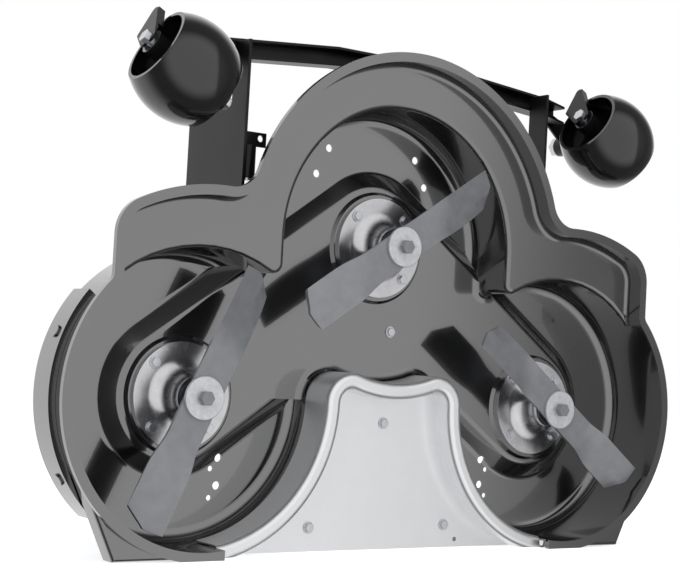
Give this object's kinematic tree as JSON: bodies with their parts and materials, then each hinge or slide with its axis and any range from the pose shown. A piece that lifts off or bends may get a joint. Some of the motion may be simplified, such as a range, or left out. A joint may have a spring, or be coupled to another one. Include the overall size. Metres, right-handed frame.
{
  "type": "lawn mower deck",
  "caption": "Mower deck standing on its rear edge: pressed shell with round blade chambers, twisted blades on flanged spindles, rear baffle and swivelling gauge wheels.",
  "frame": {"origin": "middle of the rear edge's resting face, level with the visible face of the spindle flanges", "axes": "+X across the deck to the right as seen from the cutting side, +Y from the cutting side to the belt side, +Z from the rear edge to the front edge, upwards as the deck stands"},
  "size_m": [1.1766, 0.2868, 0.8013],
  "materials": {
    "gloss_black": "gloss",
    "bright_plate": "bright zinc plate",
    "zinc": "zinc plate",
    "black_bolts": "gloss",
    "cast_alloy": "satin",
    "blade_steel": "satin blue-grey",
    "belt": "matt",
    "black_plastic": "satin",
    "gloss_plastic": "gloss"
  },
  "bodies": {
    "frame": {"deck_shell": "gloss_black", "rear_baffle": "bright_plate", "baffle_bolts": "zinc", "baffle_pins": "zinc", "side_cover": "gloss_black", "side_cover_bolts": "black_bolts", "drive_belt": "belt", "idler_pivot": "zinc", "idler_spring": "zinc", "front_beam": "gloss_black", "hanger_left": "gloss_black", "hanger_right": "gloss_black", "hanger_pins": "zinc", "spindle_housing_left": "cast_alloy", "spindle_housing_centre": "cast_alloy", "spindle_housing_right": "cast_alloy", "housing_bolts_left": "zinc", "housing_bolts_centre": "zinc", "housing_bolts_right": "zinc", "lower_bearing_left": "zinc", "lower_bearing_centre": "zinc", "lower_bearing_right": "zinc", "upper_bearing_left": "zinc", "upper_bearing_centre": "zinc", "upper_bearing_right": "zinc", "dust_cap_left": "black_plastic", "dust_cap_centre": "black_plastic", "dust_cap_right": "black_plastic"},
    "tensioner": {"idler_arm": "gloss_black", "idler_bolt": "zinc"},
    "tensioner_wheel": {"idler_pulley": "gloss_black"},
    "spindle_centre": {"spindle_shaft_centre": "zinc", "pulley_centre": "gloss_black", "pulley_nut_centre": "zinc", "blade_centre": "blade_steel", "blade_washer_centre": "bright_plate", "blade_bolt_centre": "blade_steel"},
    "spindle_left": {"spindle_shaft_left": "zinc", "pulley_left": "gloss_black", "pulley_nut_left": "zinc", "blade_left": "blade_steel", "blade_washer_left": "bright_plate", "blade_bolt_left": "blade_steel"},
    "spindle_right": {"spindle_shaft_right": "zinc", "pulley_right": "gloss_black", "pulley_nut_right": "zinc", "blade_right": "blade_steel", "blade_washer_right": "bright_plate", "blade_bolt_right": "blade_steel"},
    "caster_left": {"wheel_yoke_left": "gloss_black", "wheel_bolt_left": "zinc", "wheel_keeper_left": "gloss_black", "stem_nut_left": "zinc"},
    "roller_left": {"wheel_left": "gloss_plastic"},
    "caster_right": {"wheel_yoke_right": "gloss_black", "wheel_bolt_right": "zinc", "wheel_keeper_right": "gloss_black", "stem_nut_right": "zinc"},
    "roller_right": {"wheel_right": "gloss_plastic"}
  },
  "joints": [
    {"name": "centre_spin", "type": "hinge", "parent": "frame", "child": "spindle_centre", "pos_m": [0, 0, 0.4861], "axis": [0, 1, 0], "continuous": true},
    {"name": "left_spin", "type": "hinge", "parent": "frame", "child": "spindle_left", "pos_m": [-0.3513, 0, 0.234], "axis": [0, 1, 0], "continuous": true},
    {"name": "right_spin", "type": "hinge", "parent": "frame", "child": "spindle_right", "pos_m": [0.3513, 0, 0.234], "axis": [0, 1, 0], "continuous": true},
    {"name": "tensioner_swing", "type": "hinge", "parent": "frame", "child": "tensioner", "pos_m": [0.0377, 0.047, 0.3503], "axis": [0, 1, 0], "range_deg": [0, 10], "stiffness_Nm_per_rad": 5, "springref_deg": -20.05},
    {"name": "tensioner_spin", "type": "hinge", "parent": "tensioner", "child": "tensioner_wheel", "pos_m": [0.12, 0.074, 0.1516], "axis": [0, 1, 0], "continuous": true},
    {"name": "left_swivel", "type": "hinge", "parent": "frame", "child": "caster_left", "pos_m": [-0.421, 0.02, 0.7074], "axis": [0, 1, 0], "range_deg": [-30, 30]},
    {"name": "left_roll", "type": "hinge", "parent": "caster_left", "child": "roller_left", "pos_m": [-0.421, -0.0806, 0.7074], "axis": [-0.8746, 0, 0.4848], "continuous": true},
    {"name": "right_swivel", "type": "hinge", "parent": "frame", "child": "caster_right", "pos_m": [0.421, 0.02, 0.7074], "axis": [0, 1, 0], "range_deg": [-30, 30]},
    {"name": "right_roll", "type": "hinge", "parent": "caster_right", "child": "roller_right", "pos_m": [0.421, -0.0806, 0.7074], "axis": [-0.8746, 0, 0.4848], "continuous": true}
  ],
  "couplings": [
    {"joint": "left_spin", "follows": "centre_spin", "ratio": 1},
    {"joint": "right_spin", "follows": "centre_spin", "ratio": 1},
    {"joint": "tensioner_spin", "follows": "centre_spin", "ratio": -1.52}
  ]
}
